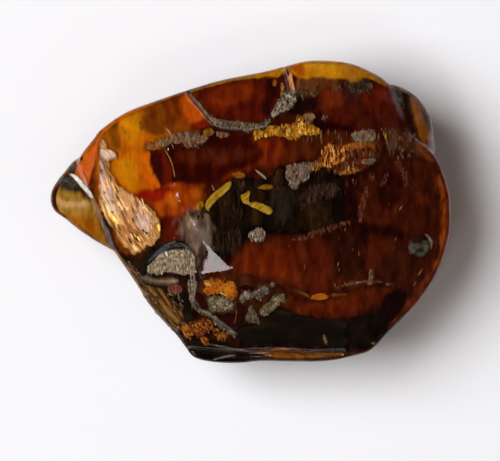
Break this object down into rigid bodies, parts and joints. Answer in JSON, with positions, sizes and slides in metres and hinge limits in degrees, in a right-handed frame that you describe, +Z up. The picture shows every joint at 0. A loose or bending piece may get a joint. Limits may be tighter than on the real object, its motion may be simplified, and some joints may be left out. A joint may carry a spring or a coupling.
{
  "type": "raw amber",
  "caption": "Polished lump of raw amber, dark red-brown, with bark, wood and grit sealed in it and let into its faces.",
  "frame": {"origin": "middle of the bounding box in plan, at the level of the small flat spot that it rests on", "axes": "+X along the longest extent, away from the nose; +Y towards the back edge with the two cracks; +Z up, out of the polished top"},
  "size_m": [0.0518, 0.0392, 0.0206],
  "materials": {
    "amber": "polished fossil resin, clear, dark red-brown where thick and honey where thin",
    "black_wood": "dark fossil wood seen through the resin",
    "bark": "tan bark fibres, polished flush",
    "gold_fibre": "pale gold wood slivers",
    "gold_debris": "golden crumbled bark",
    "tan_debris": "brown and tan bark crumbs",
    "grit": "grey-green grit, dull",
    "dark_layer": "black layer, polished flush"
  },
  "bodies": {
    "root": {"amber_lower": "amber", "amber_upper": "amber", "black_wood": "black_wood", "bark_left": "bark", "grit_hollow": "grit", "grit_patch_top": "grit", "gold_debris_top": "gold_debris", "tan_debris_left": "tan_debris", "debris_right": "tan_debris", "gold_sliver_left": "gold_fibre", "gold_sliver_right": "gold_fibre", "grit_block": "grit", "grit_flake_upper": "grit", "grit_flake_lower": "grit", "dark_layer_front": "dark_layer", "grit_seam_top": "grit", "grit_seam_front": "grit"}
  },
  "joints": []
}
